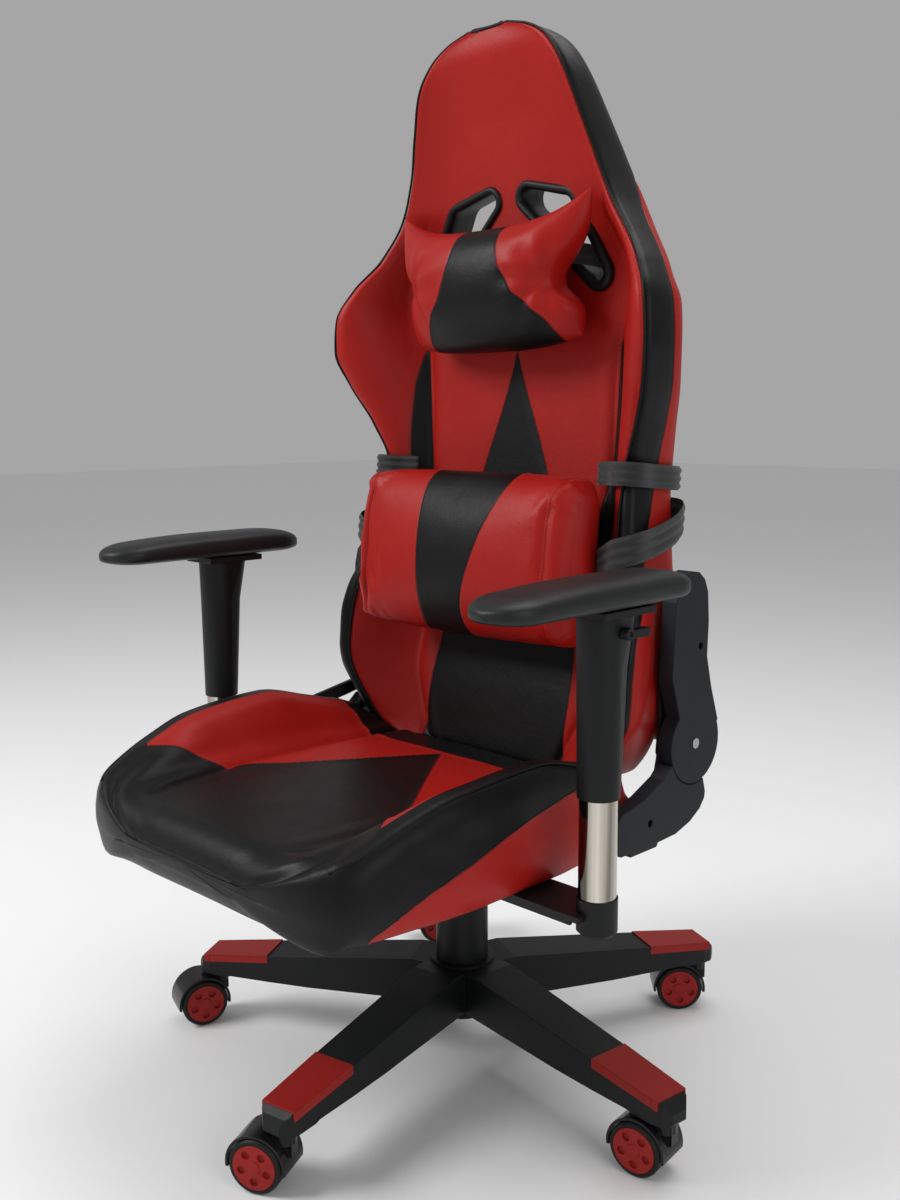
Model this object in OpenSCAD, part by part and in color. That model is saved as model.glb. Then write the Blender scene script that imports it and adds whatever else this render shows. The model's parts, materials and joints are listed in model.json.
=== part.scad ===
// Racing-style office chair: five-star base on twin-wheel casters, gas lift, tilt
// mechanism, reclining winged back, two cushions on elastic straps and adjustable arms.
// Millimetres. The origin is on the floor under the column, +Z is up, the seat faces -Y.

/* [Base] */
// Radius of the tips of the base arms
base_r = 360; // [352:1:370]
// Radius of the caster stems
stem_r = 340; // [320:1:342]
// Turn of the first base arm about the column
base_turn = 65.5; // [0:0.5:72]
// Height of the hub's top
hub_top = 126; // [122:1:130]
// Caster wheel diameter
wheel_d = 60; // [56:1:60]
// Horizontal distance from caster stem to wheel axle
trail = 24; // [20:1:25]

/* [Column] */
// Outer diameter of the gas cylinder
gas_d = 50; // [48:1:50]
// Outer diameter of the sliding pressure tube
tube_d = 28; // [26:1:28]
// Height of the tilt mechanism's floor
mech_z = 262; // [260:1:266]

/* [Seat] */
// Half width of the widest part of the seat
seat_half_w = 254; // [246:1:256]
// Height of the seat's flat middle
seat_top = 388; // [380:1:392]
// Front of the seat cushion
seat_front = -400; // [-410:1:-390]
// Rear of the seat cushion
seat_rear = 24; // [14:1:26]

/* [Back] */
// Recline angle at rest
recline = 5.3; // [3:0.1:8]
// Recline pivot behind the column axis
pivot_y = 105; // [104:1:108]
// Recline pivot height
pivot_z = 430; // [428:1:434]
// Thickness of the back's padding at its middle
back_max_t = 64; // [58:1:68]

/* [Arms] */
// Distance of each arm post from the centre line
arm_x = 317; // [312:1:322]
// Arm post's place along Y
arm_y = -132; // [-136:1:-128]
// Height of the top of the arm pads
pad_top = 649; // [640:1:654]
// Length of an arm pad
pad_len = 288; // [270:1:294]
// Width of an arm pad
pad_w = 76; // [70:1:80]
// Diameter of the chrome arm tubes
post_d = 38; // [36:1:38]

/* [Hidden] */
$fn = 48;

run = 0.05;               // radial clearance of a running fit
gap = 0.3;                // clearance between neighbours on different bodies
black = [0.06, 0.06, 0.07];
red = [0.70, 0.06, 0.05];
steel = [0.62, 0.63, 0.65];

// Base arms run clockwise from the first; each caster has come to rest at its own angle
ARMS = [0, 1, 2, 3, 4];
caster_turn = [133, 97, 116, 161, 150];
axle_z = wheel_d / 2;
neck_top = axle_z + 35.5;
arm_bottom = neck_top + 0.8;

// Column stack
cyl_bottom = 58;
cyl_top = mech_z - 26;
tube_bottom = 74;
tube_top = mech_z + 6;
rod_r = 5;
valve_r = 3;
piston_z = 226;

// Tilt mechanism
tilt_y = -62;
tilt_z = 290;
tilt_pin_r = 6;
stud_y = -112;
stud_r = 5;
knob_top = 237.5;
lever_z = mech_z + 20;
lever_pivot_x = -40;
plate_z = 314;
plate_t = 4;
frame_z = plate_z + plate_t;
frame_h = 16;

// Recliner stack across the chair, from the inside out
rod_r2 = 6;
back_plate_x = 240;
seat_plate_x = 244.5;
cover_x = 249.3;
cover_w = 19;
lobe_r = 46;
back_swing = 94;

// Arm parts
foot_top = 332;
foot_r = 20.5;
sleeve_z = 433;
arm_plate_z = 611;
arm_plate_t = 7;
pad_rear = -8;
trigger_y = arm_y + 4;
trigger_z = 596;

// ---------- helpers ----------

function smooth(t) = let (c = max(0, min(1, t))) c * c * (3 - 2 * c);

// Quarter-circle rise from 0 at t = 0 to 1 at t = 1
function round_in(t) = let (c = max(0, min(1, t))) sqrt(1 - (1 - c) * (1 - c));

// A closed solid through flat rings of points, all with the same number of points
module loft(rings) {
    n = len(rings[0]);
    m = len(rings);
    sides = [for (j = [0 : m - 2], i = [0 : n - 1])
        let (a = j * n + i, b = j * n + (i + 1) % n) each [[a, b, b + n], [a, b + n, a + n]]];
    first = [for (i = [n - 1 : -1 : 0]) i];
    last = [for (i = [0 : n - 1]) (m - 1) * n + i];
    polyhedron([for (r = rings) each r], concat(sides, [first, last]));
}

// A half outline and its mirror image as one ring
function whole(half) = concat(half, [for (i = [len(half) - 1 : -1 : 0])
    if (half[i][0] > 0.01) [-half[i][0], half[i][1], half[i][2]]]);

module both_sides() {
    for (s = [0, 1]) mirror([s, 0, 0]) children();
}

module tube(r, inner, z1, z2) {
    translate([0, 0, z1]) difference() {
        cylinder(r = r, h = z2 - z1);
        translate([0, 0, -1]) cylinder(r = inner, h = z2 - z1 + 2);
    }
}

module rod(r, z1, z2) {
    translate([0, 0, z1]) cylinder(r = r, h = z2 - z1);
}

// A cylinder along X between two x values
module cross_rod(r, x1, x2) {
    translate([x1, 0, 0]) rotate([0, 90, 0]) cylinder(r = r, h = x2 - x1);
}

// A flat plate in a YZ plane: children are drawn with Y across and Z up
module side_plate(x, t) {
    translate([x, 0, 0]) rotate([90, 0, 90]) linear_extrude(height = t) children();
}

// ---------- base ----------

module at_arm(i) {
    rotate(base_turn - 72 * i) children();
}

function arm_top(r) = 103 + (256 - r) * 0.112;

module arm_body() {
    intersection() {
        translate([0, 60, 0]) rotate([90, 0, 0]) linear_extrude(height = 120) polygon([
            [18, hub_top - 4], [60, arm_top(60)], [256, arm_top(256)], [348, arm_top(348)],
            [base_r - 5, 87], [base_r - 1, 80], [base_r, arm_bottom + 4], [base_r - 3, arm_bottom],
            [stem_r - 24, arm_bottom], [stem_r - 30, arm_bottom + 2], [200, 68], [60, 72], [18, 74]]);
        linear_extrude(height = 130) polygon([[10, -31], [60, -30], [256, -26], [stem_r, -22.5],
            [base_r - 8, -19], [base_r, -10], [base_r, 10], [base_r - 8, 19], [stem_r, 22.5],
            [256, 26], [60, 30], [10, 31]]);
    }
}

module star_base() {
    color(black) difference() {
        union() {
            rod(40, 66, hub_top);
            rod(31, 54, 68);
            for (i = ARMS) at_arm(i) arm_body();
        }
        rod(gas_d / 2, cyl_bottom - 20, hub_top + 1);
        for (i = ARMS) at_arm(i) translate([stem_r, 0, 0]) rod(5.5, 50, 86);
    }
}

// Coloured caps that saddle the outer end of each arm
module arm_inlays() {
    color(red) for (i = ARMS) at_arm(i) difference() {
        translate([0, 28, 0]) rotate([90, 0, 0]) linear_extrude(height = 56) polygon([
            [256, arm_top(256) + 1.6], [348, arm_top(348) + 1.6],
            [348, arm_top(348) - 9], [256, arm_top(256) - 9]]);
        arm_body();
        for (s = [-1, 1]) translate([200, s * 40 - 11.5, 60]) rotate(s * -2.4) cube([170, 23, 60]);
    }
}

module caster_stems() {
    color(steel) for (i = ARMS) at_arm(i) translate([stem_r, 0, 0]) {
        rod(5.5, arm_bottom, 86);
        rod(5, 42, arm_bottom);
    }
}

module at_caster(i) {
    rotate(base_turn - 72 * i) translate([stem_r, 0, 0])
        rotate(caster_turn[i] - base_turn + 72 * i) children();
}

module at_axle() {
    translate([0, trail, axle_z]) children();
}

module caster_hood(i) {
    color(black) at_caster(i) difference() {
        union() {
            rod(13, 52, neck_top);
            side_plate(-7.4, 14.8) union() {
                translate([trail, axle_z]) circle(r = 23);
                polygon([[-12, 40], [-12, 62], [trail - 2, 62], [trail + 16, 48], [trail, 20]]);
            }
            at_axle() intersection() {
                difference() {
                    cross_rod(34.4, -22, 22);
                    cross_rod(axle_z + 1.4, -23, 23);
                }
                translate([-23, -36, -5]) cube([46, 72, 40]);
            }
        }
        rod(5 + run, 40, neck_top + 1);
        at_axle() cross_rod(4 + run, -20, 20);
        at_axle() for (s = [-1, 1]) translate([s * 17.5, 0, 0])
            cross_rod(axle_z + 1.2, -9.6, 9.6);
    }
}

module caster_wheel() {
    rotate([0, 90, 0]) rotate_extrude() polygon([
        [4 + run, 8.2], [12, 8.2], [12, 12], [22, 12], [24, 8.2], [axle_z - 2, 8.2], [axle_z, 10],
        [axle_z, 21.5], [axle_z - 2, 23.5], [24.8, 23.5], [24.8, 19.8], [4 + run, 19.8]]);
}

module caster_wheels(i) {
    color(black) at_caster(i) at_axle() {
        both_sides() caster_wheel();
        cross_rod(4, -19.6, 19.6);
    }
}

module caster_caps(i) {
    color(red) at_caster(i) at_axle() both_sides() translate([20, 0, 0]) rotate([0, 90, 0])
        difference() {
            union() {
                cylinder(r = 24.5, h = 4);
                cylinder(r1 = 9, r2 = 7, h = 5);
            }
            for (k = [0 : 4]) rotate(k * 72) translate([15.5, 0, 1.2]) cylinder(r = 4.6, h = 6);
        }
}

// ---------- column ----------

module gas_cylinder() {
    color(black) difference() {
        rod(gas_d / 2, cyl_bottom, cyl_top);
        rod(rod_r + run, cyl_bottom - 1, cyl_top);
        rod(gas_d / 2 - 4, cyl_bottom + 4, cyl_top - 30);
        rod(tube_d / 2 + run, cyl_top - 31, cyl_top + 1);
    }
}

module dust_cover_lower() {
    color(black) tube(32.5, 31.1, hub_top, 226);
    color(black) tube(32.5, gas_d / 2, hub_top, hub_top + 3);
}

module dust_cover_middle() {
    color(black) tube(30.5, 29.2, hub_top + 14, 243);
}

module dust_cover_upper() {
    color(black) {
        tube(28.6, 27.3, 150, mech_z - 7);
        tube(28.6, tube_d / 2 + 0.5, mech_z - 10, mech_z - 7);
    }
}

module piston_rod() {
    color(steel) {
        rod(rod_r, cyl_bottom - 8, piston_z + 2);
        rod(tube_d / 2 - 1.6, piston_z, piston_z + 12);
        rod(9, cyl_bottom - 6, cyl_bottom - 3);
    }
}

module thrust_bearing() {
    color(steel) tube(13, rod_r, cyl_bottom + 4 + gap, cyl_bottom + 10);
}

module pressure_tube() {
    color(black) difference() {
        rod(tube_d / 2, tube_bottom, tube_top);
        rod(rod_r + run, tube_bottom - 1, tube_bottom + 11);
        rod(tube_d / 2 - 1.4, tube_bottom + 10, tube_top - 22);
        rod(valve_r + run, tube_top - 23, tube_top + 1);
    }
}

module lift_button() {
    color(steel) {
        rod(valve_r, tube_top - 18, tube_top + 8);
        rod(5, tube_top + 4, tube_top + 8);
    }
}

// ---------- tilt mechanism ----------

module mechanism_housing() {
    color(black) difference() {
        union() {
            difference() {
                side_plate(-58, 116) polygon([[-95, mech_z], [62, mech_z], [62, 282], [-45, 302],
                    [-78, 302], [-95, 292]]);
                translate([-55, -92, mech_z + 4]) cube([110, 151, 60]);
            }
            rod(24, mech_z - 7, mech_z + 12);
            translate([-30, -136, mech_z]) cube([60, 44, 4]);
            for (s = [-1, 1]) translate([lever_pivot_x - 6, s * 12 - 2, mech_z + 2]) cube([12, 4, 24]);
            translate([lever_pivot_x, 12, lever_z]) rotate([90, 0, 0]) cylinder(r = 3, h = 24);
        }
        rod(tube_d / 2, mech_z - 8, tube_top);
        rod(8, tube_top - 1, tube_top + 20);
        translate([-8, stud_y - 15, mech_z - 1]) cube([16, 26, 6]);
        translate([0, tilt_y, tilt_z]) cross_rod(tilt_pin_r, -60, 60);
        translate([-60, -9, lever_z - 16]) cube([10, 18, 60]);
    }
}

module height_lever() {
    color(steel) difference() {
        union() {
            translate([lever_pivot_x, 0, lever_z]) cross_rod(4, -200, 44);
            translate([lever_pivot_x, 8, lever_z]) rotate([90, 0, 0]) cylinder(r = 7, h = 16);
        }
        translate([lever_pivot_x, 12, lever_z]) rotate([90, 0, 0]) cylinder(r = 3 + run, h = 24);
    }
    color(black) translate([lever_pivot_x - 200, 0, lever_z]) rotate([0, -90, 0]) union() {
        cylinder(r1 = 6, r2 = 9, h = 18);
        translate([0, 0, 18]) cylinder(r = 9, h = 40);
        translate([0, 0, 58]) cylinder(r1 = 9, r2 = 6, h = 5);
    }
}

module tilt_pin() {
    color(steel) translate([0, tilt_y, tilt_z]) {
        cross_rod(tilt_pin_r, -69, 69);
        both_sides() cross_rod(9, 67, 70);
    }
}

// Compression spring drawn as its coils' rings, each resting on the next
module tension_spring() {
    wire = 1.5;
    turns = 4;
    pitch = (mech_z - knob_top - 2 * (gap + wire)) / (turns - 1);
    color(steel) translate([0, stud_y, mech_z - gap - wire]) for (k = [0 : turns - 1])
        translate([0, 0, -k * pitch]) {
            rotate_extrude() translate([14, 0]) circle(r = wire, $fn = 16);
            if (k < turns - 1) rotate(k * 120) translate([14, 0, -pitch]) cylinder(r = 1, h = pitch);
        }
}

module tension_knob() {
    color(black) translate([0, stud_y, 0]) difference() {
        union() {
            rod(24, knob_top - 29, knob_top - 3);
            rod(17, knob_top - 3, knob_top);
            for (k = [0 : 11]) rotate(k * 30) translate([23.4, 0, 0]) rod(3, knob_top - 27, knob_top - 5);
        }
        rod(stud_r + run, knob_top - 21, knob_top + 1);
    }
}

module mechanism_plate() {
    color(black) difference() {
        union() {
            translate([-90, -98, plate_z]) cube([180, 216, plate_t]);
            translate([-30, -140, plate_z]) cube([60, 44, plate_t]);
            both_sides() translate([60, -84, tilt_z - 12]) cube([4, 48, plate_z - tilt_z + 13]);
            translate([0, stud_y, 0]) rod(stud_r, knob_top - 19, plate_z + 1);
        }
        translate([0, tilt_y, tilt_z]) cross_rod(tilt_pin_r + run, -70, 70);
        for (x = [-76, 76], y = [-84, 104]) translate([x, y, 0]) rod(4.2, plate_z - 1, frame_z + 1);
    }
}

// ---------- seat ----------

module seat_frame() {
    color(black) difference() {
        union() {
            both_sides() translate([138, -350, frame_z]) cube([28, 392, frame_h]);
            translate([-138, -350, frame_z]) cube([276, 26, frame_h]);
            for (y = [-98, 90]) translate([-138, y, frame_z]) cube([276, 28, frame_h]);
            both_sides() translate([138, 42, frame_z]) cube([28, 76, frame_h]);
            both_sides() translate([164, 14, frame_z]) cube([back_plate_x - 164.5, 26, frame_h]);
        }
        for (x = [-76, 76], y = [-84, 104]) translate([x, y, 0]) rod(3.4, frame_z - 1, 340);
    }
}

function seat_w(y) = lookup(y, [[-400, 110], [-398, 138], [-394, 165], [-388, 190], [-380, 208],
    [-370, 221], [-355, 230], [-300, 241], [-200, seat_half_w - 1], [-100, seat_half_w],
    [-20, 244], [30, 236]]);
function seat_crest(y) = lookup(y, [[-400, 384], [-370, 396], [-300, 425], [-240, 442],
    [-130, 450], [-60, 434], [30, 408]]);

// The rear of the seat is hollowed round the recline pivot, so that the back can turn past it
function rear_limit(y) = pivot_y - y > back_swing ? 1000
    : pivot_z - sqrt(back_swing * back_swing - (pivot_y - y) * (pivot_y - y));

// One side of the seat's section at station y, from the underside round to the middle of the top
function seat_half(y) =
    let (f = max(0.12, round_in((y + 400) / 34)), mid = 350, w = seat_w(y), k = min(1, w / 220),
         top = mid + (seat_top - mid) * f, crest = mid + (seat_crest(y) - mid) * f,
         nose = mid - 38 * f, low = min(mid - 6 * f, 330 + 20 * (1 - f)),
         floor_z = y < -362 ? nose : frame_z + frame_h + 3,
         lip = y < -362 ? nose - 1 : (y > 4 ? floor_z + 1 : frame_z + 1), roof = rear_limit(y))
    [for (p = [[0, floor_z - 0.5], [w - 52, floor_z], [w - 48, lip], [w - 18, lip + 1], [w - 5, low + 5],
        [w, low + 18 * f], [w - 2, (low + crest) / 2 + 8 * f], [w - 10 * k, crest - 10 * f],
        [w - 20 * k, crest - 1.5], [w - 32 * k, crest], [w - 46 * k, crest - 5 * f],
        [w - 62 * k, top + (crest - top) * 0.55], [w - 78 * k, top + (crest - top) * 0.22],
        [w - 98 * k, top + 1], [(w - 98 * k) * 0.6, top - 1], [0, top]])
        [p[0], y + seat_front + 400, min(roof - pow(p[0] / 200, 2), max(p[1], min(lip, floor_z - 0.5)))]];

module seat_cushion() {
    stations = [-400, -398, -394, -388, -380, -370, -363, -361, -330, -290, -240, -190, -130, -80,
        -40, -10, 3, 5, 10, 14, 18, seat_rear];
    color(red) loft([for (y = stations) whole(seat_half(y))]);
}

module arm_brackets() {
    color(black) both_sides() difference() {
        union() {
            translate([112, arm_y - 30, frame_z - 6]) cube([arm_x - 112, 60, 6 - gap / 10]);
            for (s = [-1, 1]) translate([180, arm_y + s * 28 - 2, frame_z - 10])
                cube([arm_x - 190, 4, 6]);
        }
        translate([arm_x, arm_y, 0]) rod(foot_r, 280, 350);
        for (y = [-18, 18]) translate([152, arm_y + y, 0]) rod(4.2, 300, 320);
    }
}

module arm_feet() {
    color(black) both_sides() translate([arm_x, arm_y, 0]) difference() {
        union() {
            rod(foot_r, 298, foot_top);
            translate([0, 0, 294]) cylinder(r1 = foot_r - 4, r2 = foot_r, h = 4);
        }
        rod(post_d / 2, 302, foot_top + 1);
    }
}

module arm_posts() {
    color(steel) both_sides() translate([arm_x, arm_y, 0]) tube(post_d / 2, post_d / 2 - 2, 302, 520);
}

// Steel plates on the seat that carry the recline pivot
module recliner_seat_plates() {
    color(black) both_sides() difference() {
        union() {
            side_plate(seat_plate_x, 4) polygon([[-20, 327], [14, 327], [14, frame_z - 4],
                [62, frame_z - 4], [100, 372],
                [pivot_y + 36, pivot_z - 12], [pivot_y + 36, pivot_z + 14], [pivot_y + 14, pivot_z + 36],
                [pivot_y - 14, pivot_z + 36], [pivot_y - 36, pivot_z + 12], [58, 396], [-20, 352]]);
            translate([168, 14, frame_z - 4]) cube([seat_plate_x - 166, 38, 4]);
        }
        translate([0, pivot_y, pivot_z]) cross_rod(rod_r2 + run, 200, 260);
        translate([0, 22, 356]) cross_rod(3, 200, 260);
    }
}

module lower_cover_outline() {
    difference() {
        polygon([[-36, 335], [-30, 331], [20, 330], [70, 332], [98, 340], [117, 351], [126, 362],
            [127, 369], [122, 386], [60, 412], [46, 400], [11, 385], [-28, 377], [-36, 370]]);
        translate([pivot_y, pivot_z]) circle(r = lobe_r + 1.5);
    }
}

module recliner_lower_covers() {
    color(black) both_sides() difference() {
        side_plate(cover_x, cover_w) lower_cover_outline();
        side_plate(cover_x - 1, cover_w - 1.5) offset(delta = -2.5) lower_cover_outline();
        translate([0, 22, 356]) cross_rod(4.5, 200, 280);
    }
}

module seat_cover_screws() {
    color(steel) both_sides() translate([0, 22, 356]) {
        cross_rod(3, seat_plate_x, cover_x + 10);
        cross_rod(4.4, cover_x + 10, cover_x + 13);
    }
}

// ---------- arms ----------

module arm_sleeve(side) {
    color(black) translate([side * arm_x, arm_y, 0]) difference() {
        union() {
            hull() {
                rod(21.2, sleeve_z, sleeve_z + 1);
                rod(22.5, 560, 561);
                translate([0, 11, 0]) rod(19, 560, 561);
            }
            hull() {
                rod(22.5, 560, 561);
                rod(23.5, arm_plate_z - 1, arm_plate_z);
                translate([0, 11, 0]) rod(19, 560, 561);
                translate([0, 20, 0]) rod(20, arm_plate_z - 1, arm_plate_z);
            }
            translate([-27, -28, arm_plate_z]) cube([54, 80, arm_plate_t]);
            translate([0, trigger_y - arm_y, trigger_z]) cross_rod(2.5, -32, 32);
        }
        rod(post_d / 2 + run, sleeve_z - 1, arm_plate_z - 2);
    }
}

function pad_z(y) = pad_top - 9 * pow(max(0, (-y - 0.5 * pad_len) / (0.5 * pad_len)), 2)
    - 9 * pow(max(0, (y + 70) / 70), 2);

module arm_pad(side) {
    ends = 38;
    steps = [0, 0.02, 0.06, 0.14, 0.3, 0.5, 0.7, 0.85, 1];
    ys = concat([for (s = steps) -pad_len + ends * s],
        [for (k = [1 : 9]) -pad_len + ends + (pad_len - 2 * ends) * k / 10],
        [for (i = [len(steps) - 1 : -1 : 0]) -ends * steps[i]]);
    color(black) translate([side * arm_x, pad_rear, 0]) loft([for (y = ys)
        let (e = round_in(min(-y, y + pad_len) / ends), w = pad_w / 2 * max(0.2, e),
             z1 = arm_plate_z + arm_plate_t + gap + 6 * (1 - e), z2 = pad_z(y) - 7 * (1 - e))
        [for (k = [0 : 15]) let (a = k * 22.5, c = cos(a), s = sin(a))
            [w * sign(c) * pow(abs(c), 0.55), y,
             (z1 + z2) / 2 + (z2 - z1) / 2 * sign(s) * pow(abs(s), 0.7)]]]);
}

module arm_trigger(side) {
    color(black) translate([side * arm_x, trigger_y, trigger_z]) mirror([side < 0 ? 1 : 0, 0, 0])
        difference() {
            union() {
                cross_rod(6, 23.8, 33);
                translate([23.8, 0, -5]) cube([9.2, 30, 8]);
            }
            cross_rod(2.5 + run, 20, 34);
        }
}

// ---------- back: its own frame has the origin on the pivot and Z along the back ----------

module at_back() {
    translate([0, pivot_y, pivot_z]) rotate([-recline, 0, 0]) children();
}

function back_w(z) = lookup(z, [[-54, 176], [-40, 202], [12, 229], [60, 237], [130, 235], [200, 218],
    [300, 206], [350, 221], [400, 244], [440, 256], [480, 253], [520, 234], [560, 202], [600, 173],
    [650, 151], [700, 134], [745, 117], [775, 95], [792, 70], [800, 36]]);
function rim_y(z) = lookup(z, [[-54, -72], [0, -91], [60, -103], [100, -102], [200, -78], [300, -69],
    [350, -84], [400, -110], [440, -128], [480, -131], [520, -120], [560, -102], [600, -98], [650, -105],
    [700, -119], [760, -133], [800, -134]]);
function centre_y(z) = lookup(z, [[-54, -52], [20, -44], [100, -32], [300, -35], [440, -44], [600, -72],
    [700, -98], [760, -120], [800, -131]]);
function edge_y(z) = lookup(z, [[-54, 0], [60, 8], [300, 13], [350, -7], [400, -38], [440, -56],
    [500, -60], [560, -36], [600, -25], [650, -37], [700, -57], [760, -79], [800, -84]]);
function flat_w(z) = lookup(z, [[-54, 110], [60, 150], [400, 150], [450, 155], [510, 172],
    [560, 152], [600, 128], [650, 108], [700, 92], [745, 78], [792, 40], [800, 16]]);
function back_t(z) = lookup(z, [[480, back_max_t], [560, back_max_t * 0.72], [640, back_max_t * 0.72],
    [700, back_max_t * 0.84]]);
function flare(z) = lookup(z, [[-20, 0], [30, 12], [130, 10], [190, 0]]);

// One side of the back's section at height z, from the middle of the front round to the rear
function back_half(z) =
    let (w = back_w(z), f = flat_w(z), yc = centre_y(z), yr = rim_y(z), ye = edge_y(z),
         yb = yc + back_t(z), o = w + flare(z))
    [for (p = concat([[0, yc], [f * 0.6, yc - 0.4], [f, yc - 1.5]],
        [for (t = [0.3, 0.5, 0.7, 0.85]) [f + (w - 14 - f) * t, yc + (yr - yc) * smooth(t)]],
        [[o - 14, yr + 1], [o - 5, yr + 4], [o, yr + 14], [w + 1, (yr + ye) / 2], [w, ye - 12],
         [w - 5, ye - 3], [w - 16, ye]],
        [for (t = [0.75, 0.5, 0.25, 0]) [(w - 16) * t, yb + (ye - yb) * t * t]]))
        [p[0], z < 18 ? min(p[1], -20 - pow(p[0] / 100, 2)) : p[1], z]];

module opening_outline(r1, r2, r3, sides = 32) {
    hull() {
        translate([30, 618]) circle(r = r1, $fn = sides);
        translate([84, 602]) circle(r = r2, $fn = sides);
        translate([130, 523]) circle(r = r3, $fn = sides);
    }
}

// Draws children, an outline in X and Z, as a slab between two depths behind the head's front plane
module head_slab(y1, y2) {
    lean = 10.3;
    translate([0, -71, 600]) rotate([lean, 0, 0]) translate([0, y2, -600]) rotate([90, 0, 0])
        linear_extrude(height = y2 - y1) children();
}

module back_cushion() {
    zs = [-54, -48, -40, -14, 12, 17, 19, 60, 130, 200, 260, 300, 350, 400, 440, 480, 520, 560, 600,
        650, 700, 745, 775, 792, 800];
    color(red) at_back() difference() {
        loft([for (z = zs) whole(back_half(z))]);
        both_sides() head_slab(-60, 130) opening_outline(11.6, 13.6, 9.6, 14);
    }
}

module opening_bezels() {
    color(black) at_back() both_sides() difference() {
        union() {
            head_slab(-4, 2) opening_outline(19, 23, 21);
            head_slab(-3, 43) opening_outline(11.3, 13.3, 9.3);
        }
        head_slab(-60, 130) opening_outline(9, 11, 7);
    }
}

module back_frame() {
    color(steel) at_back() {
        both_sides() {
            translate([110, 0, 40]) cylinder(r = 11, h = 306);
            translate([110, 0, 340]) rotate([14, 0, 0]) translate([0, 0, -6]) cylinder(r = 9.6, h = 138);
        }
        translate([0, 0, 60]) cross_rod(9.5, -back_plate_x, back_plate_x);
        translate([0, 0, 300]) cross_rod(9, -110, 110);
        translate([0, -31.5, 466]) cross_rod(8.5, -121, 121);
    }
}

module back_hinge_plates() {
    color(black) at_back() both_sides() difference() {
        side_plate(back_plate_x, 4) polygon([[-22, -34], [22, -34], [36, -10], [34, 24], [14, 70],
            [10, 188], [-40, 188], [-44, 80], [-36, 24], [-36, -12]]);
        cross_rod(rod_r2, 200, 260);
        translate([0, -4, 111]) cross_rod(3, 200, 260);
    }
}

module upper_cover_outline() {
    union() {
        circle(r = lobe_r);
        polygon([[-34, 30], [-54, 76], [-57, 160], [-54, 180], [-46, 190], [-32, 195], [-18, 194],
            [-6, 186], [2, 172], [8, 139], [10, 99], [24, 62], [42, 24], [20, 0]]);
    }
}

module recliner_upper_covers() {
    color(black) at_back() both_sides() difference() {
        side_plate(cover_x, cover_w) upper_cover_outline();
        side_plate(cover_x - 1, cover_w - 1.5) offset(delta = -2.5) upper_cover_outline();
        translate([0, -4, 111]) cross_rod(4.5, 200, 280);
        cross_rod(rod_r2 + 0.5, 200, 280);
    }
}

module back_cover_screws() {
    color(steel) at_back() both_sides() translate([0, -4, 111]) {
        cross_rod(3, back_plate_x, cover_x + 10);
        cross_rod(4.4, cover_x + 10, cover_x + 13);
    }
}

module recliner_rod() {
    color(steel) at_back() cross_rod(rod_r2, -278, cover_x + cover_w + 1);
}

module recline_lever() {
    color(black) translate([0, pivot_y, pivot_z]) difference() {
        union() {
            cross_rod(17, -276, -cover_x - cover_w - gap);
            translate([-276, 0, 0]) rotate([190, 0, 0]) translate([0, 0, -8]) cube([7.4, 70, 16]);
            translate([-272, 0, 0]) rotate([190, 0, 0]) translate([0, 56, 0]) rotate([-90, 0, 0]) {
                cylinder(r = 9, h = 84);
                translate([0, 0, 84]) sphere(r = 9);
            }
        }
        cross_rod(rod_r2 + run, -290, -260);
        translate([-cover_x - cover_w - gap, -200, -100]) cube([40, 400, 200]);
    }
}

// ---------- cushions and straps ----------

// A stuffed cushion: half sizes along X, Y and Z, plumper in the middle. The ear lifts its upper
// corners and the taper draws its lower ones in.
module pillow(hw, ht, hh, ear, taper) {
    stations = [-1, -0.985, -0.95, -0.88, -0.75, -0.5, -0.25, 0, 0.25, 0.5, 0.75, 0.88, 0.95, 0.985, 1];
    loft([for (u = stations)
        let (t = ht * (0.25 + 0.75 * round_in(1.02 - abs(u))),
             h = hh * (0.88 + 0.12 * round_in(1.05 - abs(u))))
        [for (k = [0 : 19]) let (a = k * 18, c = cos(a), s = sin(a),
                z = h * sign(s) * pow(abs(s), 0.55) * (1 + (s > 0 ? ear : ear / 4) * pow(abs(u), 3)))
            [-hw * u * (1 + taper * z / hh), t * sign(c) * pow(abs(c), 0.8), z]]]);
}

module head_pillow() {
    color(red) at_back() translate([0, -103, 506]) rotate([10, 0, 0]) pillow(139, 42, 73, 0.4, 0.085);
}

module lumbar_pillow() {
    color(red) at_back() translate([0, -103, 194]) rotate([-1, 0, 0]) pillow(175, 47, 96, 0, 0);
}

// A flat strap through a list of points, standing on edge, its outer face on the left of the path
module band(points, width, thick) {
    n = len(points);
    function way(i) = let (a = points[max(0, i - 1)], b = points[min(n - 1, i + 1)],
        d = [b[0] - a[0], b[1] - a[1]]) d / norm(d);
    loft([for (i = [0 : n - 1]) let (p = points[i], d = way(i), o = [-d[1], d[0]] * thick)
        [[p[0], p[1], p[2] - width / 2], [p[0] + o[0], p[1] + o[1], p[2] - width / 2],
         [p[0] + o[0], p[1] + o[1], p[2] + width / 2], [p[0], p[1], p[2] + width / 2]]]);
}

// The right-hand half of a route, and its mirror image, as one path
function round_back(half) = concat([for (p = half) [p[0], p[1], p[2]]],
    [for (i = [len(half) - 2 : -1 : 0]) [-half[i][0], half[i][1], half[i][2]]]);

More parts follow.
